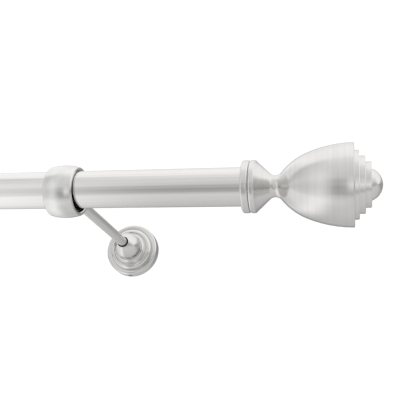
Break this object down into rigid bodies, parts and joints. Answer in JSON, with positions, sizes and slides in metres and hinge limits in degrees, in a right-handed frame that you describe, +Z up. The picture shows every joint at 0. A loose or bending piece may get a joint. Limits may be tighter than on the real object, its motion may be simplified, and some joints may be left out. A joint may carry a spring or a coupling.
{
  "type": "curtain rod with brackets",
  "caption": "Round metal curtain rod held in barrel rings on straight wall arms with stepped domed covers, with a turned bell finial on each end; finials pull out and covers slide.",
  "frame": {"origin": "on the wall plane, halfway between the two brackets, at the height of their arms", "axes": "+X along the rod towards its right-hand end, +Y into the wall, +Z up; the room is towards -Y"},
  "size_m": [1.1714, 0.1957, 0.0522],
  "materials": {
    "rod_steel": "satin nickel, brushed along the rod",
    "satin_nickel": "satin nickel plating",
    "turned_nickel": "satin nickel with fine turning marks",
    "arm_steel": "matt nickel",
    "plate_casting": "as cast",
    "zinc_screw": "bright zinc",
    "dark_screw": "nickel plated, in shade",
    "sleeve_plastic": "natural nylon"
  },
  "bodies": {
    "brackets": {"bracket_ring_left": "satin_nickel", "bracket_arm_left": "arm_steel", "wall_plate_left": "plate_casting", "wall_screws_left": "zinc_screw", "bracket_ring_right": "satin_nickel", "bracket_arm_right": "arm_steel", "wall_plate_right": "plate_casting", "wall_screws_right": "zinc_screw"},
    "rod": {"rod_tube": "rod_steel"},
    "finial_left": {"end_adapter_left": "satin_nickel", "tube_sleeve_left": "sleeve_plastic", "finial_stud_left": "zinc_screw", "finial_head_left": "turned_nickel", "finial_cap_left": "turned_nickel", "ball_tip_left": "satin_nickel"},
    "cover_left": {"rosette_cover_left": "satin_nickel"},
    "lock_screw_left": {"ring_lock_screw_left": "dark_screw"},
    "cover_screw_left": {"cover_screw_left": "dark_screw"},
    "finial_right": {"end_adapter_right": "satin_nickel", "tube_sleeve_right": "sleeve_plastic", "finial_stud_right": "zinc_screw", "finial_head_right": "turned_nickel", "finial_cap_right": "turned_nickel", "ball_tip_right": "satin_nickel"},
    "cover_right": {"rosette_cover_right": "satin_nickel"},
    "lock_screw_right": {"ring_lock_screw_right": "dark_screw"},
    "cover_screw_right": {"cover_screw_right": "dark_screw"}
  },
  "joints": [
    {"name": "rod_slide", "type": "slide", "parent": "brackets", "child": "rod", "axis": [1, 0, 0], "range_m": [-0.11, 0.11]},
    {"name": "finial_pull_left", "type": "slide", "parent": "rod", "child": "finial_left", "axis": [-1, 0, 0], "range_m": [0, 0.045]},
    {"name": "cover_slide_left", "type": "slide", "parent": "brackets", "child": "cover_left", "axis": [0, -1, 0], "range_m": [0, 0.09]},
    {"name": "lock_screw_travel_left", "type": "slide", "parent": "brackets", "child": "lock_screw_left", "axis": [0, 0.5, -0.866], "range_m": [0, 0.002]},
    {"name": "cover_screw_travel_left", "type": "slide", "parent": "cover_left", "child": "cover_screw_left", "axis": [0, 0, -1], "range_m": [0, 0.002]},
    {"name": "finial_pull_right", "type": "slide", "parent": "rod", "child": "finial_right", "axis": [1, 0, 0], "range_m": [0, 0.045]},
    {"name": "cover_slide_right", "type": "slide", "parent": "brackets", "child": "cover_right", "axis": [0, -1, 0], "range_m": [0, 0.09]},
    {"name": "lock_screw_travel_right", "type": "slide", "parent": "brackets", "child": "lock_screw_right", "axis": [0, 0.5, -0.866], "range_m": [0, 0.002]},
    {"name": "cover_screw_travel_right", "type": "slide", "parent": "cover_right", "child": "cover_screw_right", "axis": [0, 0, -1], "range_m": [0, 0.002]}
  ]
}
